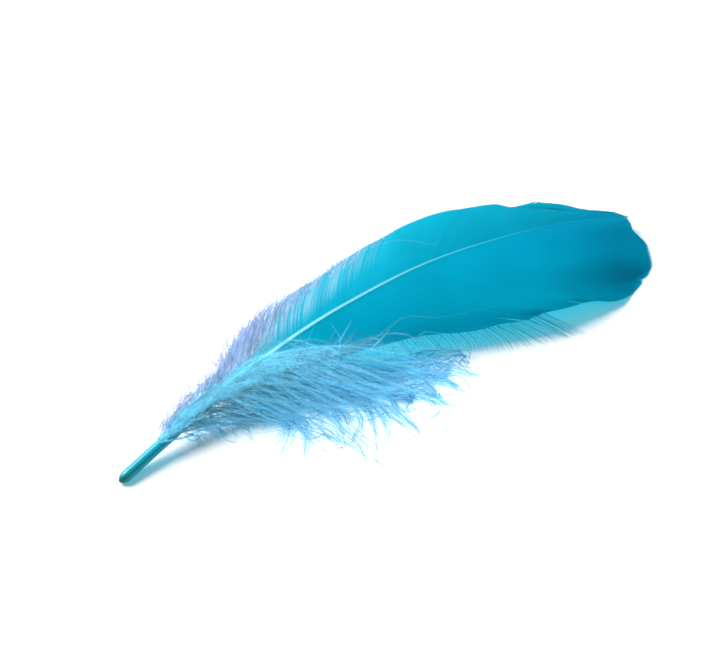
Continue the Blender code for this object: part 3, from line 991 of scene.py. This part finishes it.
class Look:
    """A material in the making, with short ways to add nodes to it."""

    def __init__(self, name, roughness, gloss):
        self.material = bpy.data.materials.new(name)
        self.material.use_nodes = True
        self.tree = self.material.node_tree
        self.shader = self.tree.nodes["Principled BSDF"]
        self.shader.inputs["Roughness"].default_value = roughness
        self.shader.inputs["Specular IOR Level"].default_value = gloss

    def node(self, kind, entries, **settings):
        """Adds a node with settings. Each entry gets a value or a link from another's output."""
        node = self.tree.nodes.new("ShaderNode" + kind)
        for key, value in settings.items():
            setattr(node, key, value)
        for key, value in entries.items():
            if isinstance(value, bpy.types.NodeSocket):
                self.tree.links.new(value, node.inputs[key])
            else:
                node.inputs[key].default_value = value
        return node.outputs

    def attribute(self, name):
        return self.node("Attribute", {}, attribute_name=name)["Fac"]

    def ramp(self, value, stops):
        node = self.tree.nodes.new("ShaderNodeValToRGB")
        self.tree.links.new(value, node.inputs["Fac"])
        elements = node.color_ramp.elements
        while len(elements) < len(stops):
            elements.new(0.5)
        for element, (place, colour) in zip(elements, stops):
            element.position = place
            element.color = rgba(colour)
        return node.outputs["Color"]

    def product(self, first, second):
        return self.node("Math", {0: first, 1: second}, operation="MULTIPLY")[0]

    def mapped(self, value, low, high, to_low=0.0, to_high=1.0):
        ends = {"From Min": low, "From Max": high, "To Min": to_low, "To Max": to_high}
        return self.node("MapRange", {"Value": value, **ends})["Result"]

    def mixed(self, factor, first, second, kind="MIX"):
        entries = {0: factor, 6: first, 7: second}
        return self.node("Mix", entries, data_type="RGBA", blend_type=kind)[2]

    def shaded(self, colour, amount):
        return self.mixed(1.0, colour, amount, "MULTIPLY")

    def noise(self, scale, detail, stretch=(1, 1, 1)):
        place = self.node("TexCoord", {})["Object"]
        fitted = self.node("Mapping", {"Vector": place, "Scale": stretch})[0]
        return self.node("TexNoise", {"Vector": fitted, "Scale": scale, "Detail": detail})["Fac"]

    def blotches(self, least, most, scale, detail, stretch=(1, 1, 1)):
        """Noise as a factor from least to most."""
        return self.mapped(self.noise(scale, detail, stretch), 0.3, 0.7, least, most)

    def each_barb(self, least, most):
        """A factor from least to most, the same all along a barb."""
        return self.mapped(self.attribute("barb"), 0.0, 1.0, least, most)

    def colour(self, value):
        self.tree.links.new(value, self.shader.inputs["Base Color"])

    def through_light(self, colour, share, left):
        """Lets light through, as barbs and horn do: a share of it is scattered to the other side,
        and the shadow keeps the colour left."""
        scattered = self.node("BsdfTranslucent", {"Color": colour})[0]
        body = self.node("MixShader", {0: share, 1: self.shader.outputs[0], 2: scattered})[0]
        passing = self.node("BsdfTransparent", {"Color": rgba(left)})[0]
        in_shadow = self.node("LightPath", {})["Is Shadow Ray"]
        both = self.node("MixShader", {0: in_shadow, 1: body, 2: passing})[0]
        self.tree.links.new(both, self.tree.nodes["Material Output"].inputs["Surface"])


def vane_material(name, tone):
    look = Look(name, roughness=0.5, gloss=0.03)
    along = look.mapped(look.attribute("root"), VANE_FIRST_ROOT, VANE_LAST_ROOT)
    # A tone below 1 paints the whole vane darker, as painted shade
    uneven = look.each_barb(0.95 * tone, 1.05 * tone)
    patches = look.blotches(0.95, 1.05, scale=60.0, detail=3.0)
    # Painted shade darkens the colour and the glow in the crease, hollows and dents
    painted_shade = look.mapped(look.attribute("painted_shade"), 0.0, 1.0, 1.0, 0.0)
    shade = look.product(look.product(uneven, patches), painted_shade)
    pale = look.attribute("pale")
    # The dye ramp's darkening towards the tip is partly painted shade
    look.colour(look.mixed(pale, look.shaded(look.ramp(along, VANE_DYE_AND_SHADE), shade), rgba(VANE_PALE)))
    glow = look.mixed(pale, look.shaded(rgba(VANE_GLOW), shade), rgba(VANE_PALE_GLOW))
    look.through_light(glow, share=0.40, left=VANE_SHADOW)
    return look.material


def shaft_material():
    look = Look("horn_shaft", roughness=0.32, gloss=0.45)
    along = look.mapped(look.attribute("root"), 0.0, HORN_LAST_X)
    grain = look.blotches(0.86, 1.1, scale=90.0, detail=4.0, stretch=(0.06, 1, 1))
    horn = look.shaded(look.ramp(along, HORN), grain)
    # Painted shade: the shaft darkens towards its underside, to three quarters at the bottom
    horn = look.shaded(horn, look.mapped(look.attribute("up"), -1.0, 0.4, 0.75, 1.0))
    look.colour(horn)
    look.through_light(horn, share=0.2, left=HORN_SHADOW)
    return look.material


def down_material(name, stops):
    look = Look(name, roughness=0.7, gloss=0.1)
    clump = look.blotches(0.90, 1.05, scale=250.0, detail=2.0)
    down = look.shaded(look.ramp(look.attribute("reach"), stops), clump)
    down = look.shaded(down, look.each_barb(0.70, 1.20))
    look.colour(down)
    look.through_light(down, share=0.42, left=DOWN_SHADOW)
    return look.material


def free_end_material():
    look = Look("loose_barb_ends", roughness=0.5, gloss=0.1)
    barb = look.shaded(look.ramp(look.attribute("pale"), FREE_END_DYE), look.each_barb(0.85, 1.1))
    look.colour(barb)
    look.through_light(barb, share=0.45, left=FREE_END_SHADOW)
    return look.material


def floor_material():
    look = Look("white_table", roughness=0.9, gloss=0.1)
    look.colour(look.mapped(look.noise(scale=30.0, detail=2.0), 0.0, 1.0, 0.90, 0.93))
    return look.material


def make_floor():
    bpy.ops.mesh.primitive_plane_add(size=FLOOR_SIZE, location=(0.0, 0.0, -FLOOR_GAP))
    floor = bpy.context.object
    floor.name = "table_top"
    floor.data.materials.append(floor_material())


def make_camera():
    back = Vector((
        math.sin(CAMERA_AZIMUTH) * math.cos(CAMERA_ELEVATION),
        -math.cos(CAMERA_AZIMUTH) * math.cos(CAMERA_ELEVATION),
        math.sin(CAMERA_ELEVATION),
    ))
    data = bpy.data.cameras.new("camera")
    data.lens = CAMERA_LENS
    camera = bpy.data.objects.new("camera", data)
    bpy.context.scene.collection.objects.link(camera)
    camera.location = Vector(CAMERA_TARGET - ORIGIN) + back * CAMERA_DISTANCE
    camera.rotation_mode = "QUATERNION"
    camera.rotation_quaternion = (-back).to_track_quat("-Z", "Y")
    bpy.context.scene.camera = camera


def make_lights():
    world = bpy.data.worlds.new("soft_white")
    world.use_nodes = True
    background = world.node_tree.nodes["Background"]
    background.inputs["Color"].default_value = (1.0, 1.0, 1.0, 1.0)
    background.inputs["Strength"].default_value = WORLD_LIGHT
    bpy.context.scene.world = world
    key = bpy.data.lights.new("key", "AREA")
    key.shape = "DISK"
    key.size = KEY_SIZE
    key.energy = KEY_POWER
    lamp = bpy.data.objects.new("key", key)
    bpy.context.scene.collection.objects.link(lamp)
    lamp.location = KEY_PLACE
    lamp.rotation_mode = "QUATERNION"
    lamp.rotation_quaternion = lamp.location.to_track_quat("Z", "Y")


def make_all_down():
    broad = down_material("pale_down", PALE_DOWN)
    narrow = down_material("lilac_down", LILAC_DOWN)
    rng = np.random.default_rng(DOWN_SEED)
    t = np.linspace(0.0, 1.0, DOWN_STEPS)
    surface = resting_surface()
    locks = laid_over(surface, lock_barbs(rng, t), LOCK_CLEARANCE)
    for number in range(LOCK_PIECES):
        part = locks[number::LOCK_PIECES]
        make_down(f"down_broad_{number + 1}", part, rng, broad, LOCK_BARBULES)
    narrow_lines = narrow_barbs(rng, t)
    narrow_lines[..., 2] += NARROW_HEIGHT
    narrow_lines = np.concatenate([narrow_lines, spike_barbs(rng, t)])
    narrow_lines = laid_over(surface, narrow_lines, CLEARANCE)
    make_down("down_narrow", narrow_lines, rng, narrow, NARROW_BARBULES)
    fluff = laid_over(surface, fluff_barbs(rng, t), FLUFF_CLEARANCE)
    make_down("down_fluff", fluff, rng, broad, FLUFF_BARBULES)
    base = laid_over(surface, base_barbs(rng, t), CLEARANCE)
    make_down("down_narrow_base", base, rng, narrow, BASE_BARBULES)
    make_down("down_wisps", edge_wisps(rng, t), rng, narrow, WISP_BARBULES)
    hairs = laid_over(surface, single_hairs(t), CLEARANCE)
    make_down("single_hairs", hairs, rng, broad, HAIR_BARBULES)


def main():
    make_camera()
    make_lights()
    make_floor()
    bpy.context.scene.view_settings.view_transform = "Standard"
    make_shaft(shaft_material())
    # The narrow vane is painted a tenth darker, painted shade against the stronger lamp light it
    # catches
    make_vane("vane_narrow", 1, vane_material("dyed_and_shaded_narrow_vane", 0.90))
    make_vane("vane_broad", -1, vane_material("dyed_broad_vane", 1.0))
    make_free_ends(free_end_material())
    make_all_down()


main()
